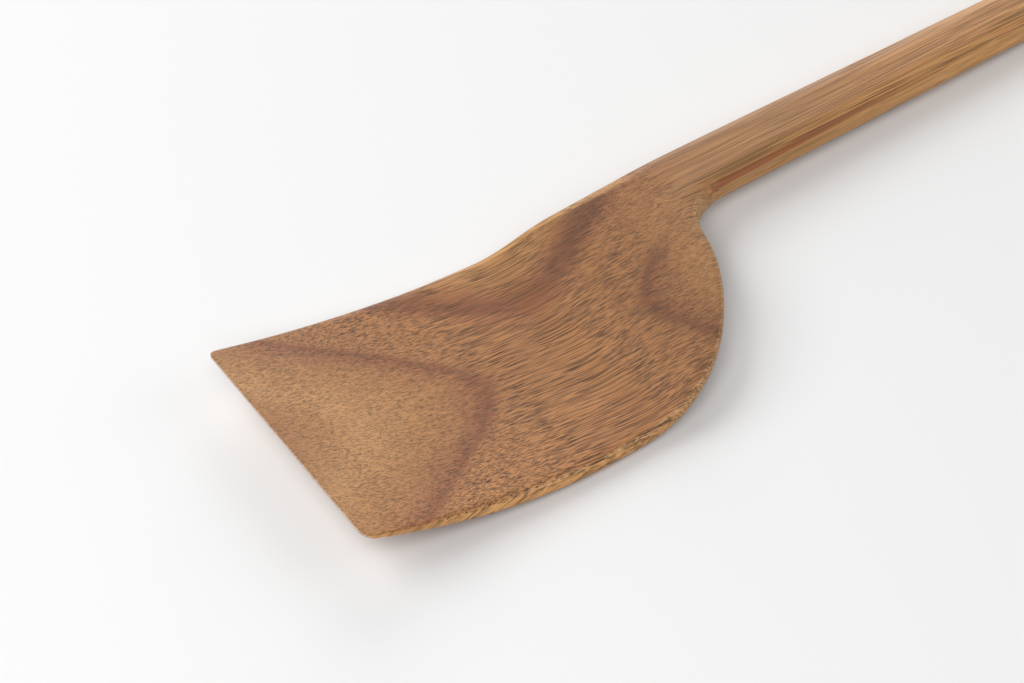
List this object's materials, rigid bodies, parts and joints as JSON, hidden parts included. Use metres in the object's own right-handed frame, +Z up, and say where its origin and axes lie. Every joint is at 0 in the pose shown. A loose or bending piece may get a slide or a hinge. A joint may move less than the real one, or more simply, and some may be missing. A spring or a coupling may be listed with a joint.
{
  "type": "wooden turner",
  "caption": "Wooden turner with a dished, lopsided blade and a straight front edge, a cranked neck and a slim straight handle, for turning and scraping food in a pan.",
  "frame": {"origin": "on the table, under the middle of the turner's length and width", "axes": "+X from the front edge to the end of the handle, +Y towards the straight side of the blade, +Z up from the table"},
  "size_m": [0.32, 0.085, 0.0149],
  "materials": {
    "wood": "satin, lightly oiled"
  },
  "bodies": {
    "root": {"turner": "wood"}
  },
  "joints": []
}
